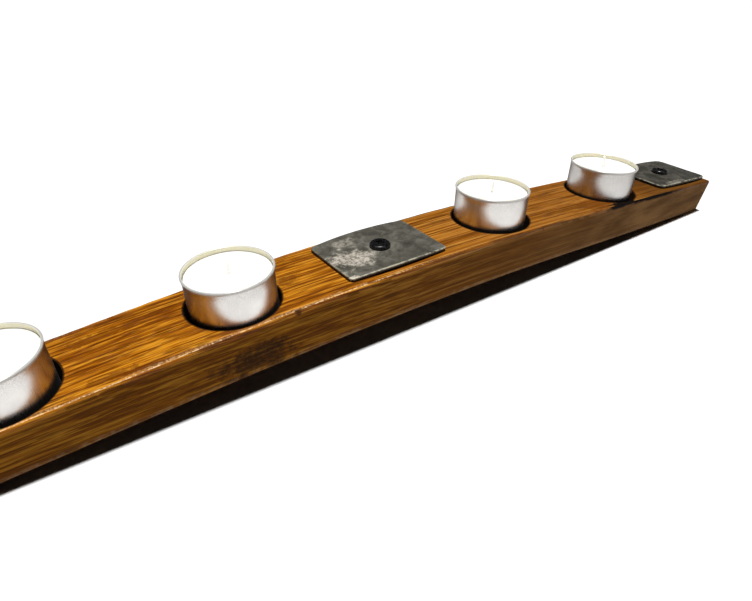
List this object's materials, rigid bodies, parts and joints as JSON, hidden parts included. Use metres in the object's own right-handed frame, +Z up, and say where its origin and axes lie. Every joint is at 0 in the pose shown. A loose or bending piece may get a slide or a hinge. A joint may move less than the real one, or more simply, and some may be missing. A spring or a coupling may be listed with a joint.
{
  "type": "tealight holder",
  "caption": "Bowed stained-oak bar cut from a barrel stave, with bored recesses for tealights in metal cups and pieces of steel hoop screwed flat to its top.",
  "frame": {"origin": "on the table plane, under the middle of the stave", "axes": "+X along the stave, +Y across it, +Z up; the arch of the stave is symmetrical about the YZ and XZ planes"},
  "size_m": [0.492, 0.0454, 0.0541],
  "materials": {
    "stained_oak": "dark golden-brown stain under glossy clear lacquer",
    "hoop_steel": "weathered grey hoop steel with pale worn patches and bright cut edges",
    "black_steel": "semi-gloss black",
    "cup_aluminium": "satin drawn foil",
    "candle_wax": "white candle wax, slightly translucent",
    "wick_cotton": "waxed braided cotton",
    "tinned_steel": "thin tinned sheet"
  },
  "bodies": {
    "bar": {"stave": "stained_oak", "hoop_plate_left": "hoop_steel", "hoop_plate_centre": "hoop_steel", "hoop_plate_right": "hoop_steel", "screw_left": "black_steel", "screw_centre": "black_steel", "screw_right": "black_steel"},
    "tealight_cup_1": {"cup_1": "cup_aluminium"},
    "tealight_cup_2": {"cup_2": "cup_aluminium"},
    "tealight_cup_3": {"cup_3": "cup_aluminium"},
    "tealight_cup_4": {"cup_4": "cup_aluminium"},
    "candle_1": {"wax_1": "candle_wax", "wick_1": "wick_cotton", "wick_tab_1": "tinned_steel"},
    "candle_2": {"wax_2": "candle_wax", "wick_2": "wick_cotton", "wick_tab_2": "tinned_steel"},
    "candle_3": {"wax_3": "candle_wax", "wick_3": "wick_cotton", "wick_tab_3": "tinned_steel"},
    "candle_4": {"wax_4": "candle_wax", "wick_4": "wick_cotton", "wick_tab_4": "tinned_steel"}
  },
  "joints": [
    {"name": "tealight_1_lift", "type": "slide", "parent": "bar", "child": "tealight_cup_1", "axis": [-0.0737, 0, 0.9973], "range_m": [0, 0.05]},
    {"name": "candle_1_lift", "type": "slide", "parent": "tealight_cup_1", "child": "candle_1", "axis": [-0.0737, 0, 0.9973], "range_m": [0, 0.035]},
    {"name": "tealight_2_lift", "type": "slide", "parent": "bar", "child": "tealight_cup_2", "axis": [-0.0432, 0, 0.9991], "range_m": [0, 0.05]},
    {"name": "candle_2_lift", "type": "slide", "parent": "tealight_cup_2", "child": "candle_2", "axis": [-0.0432, 0, 0.9991], "range_m": [0, 0.035]},
    {"name": "tealight_3_lift", "type": "slide", "parent": "bar", "child": "tealight_cup_3", "axis": [0.0432, 0, 0.9991], "range_m": [0, 0.05]},
    {"name": "candle_3_lift", "type": "slide", "parent": "tealight_cup_3", "child": "candle_3", "axis": [0.0432, 0, 0.9991], "range_m": [0, 0.035]},
    {"name": "tealight_4_lift", "type": "slide", "parent": "bar", "child": "tealight_cup_4", "axis": [0.0737, 0, 0.9973], "range_m": [0, 0.05]},
    {"name": "candle_4_lift", "type": "slide", "parent": "tealight_cup_4", "child": "candle_4", "axis": [0.0737, 0, 0.9973], "range_m": [0, 0.035]}
  ]
}
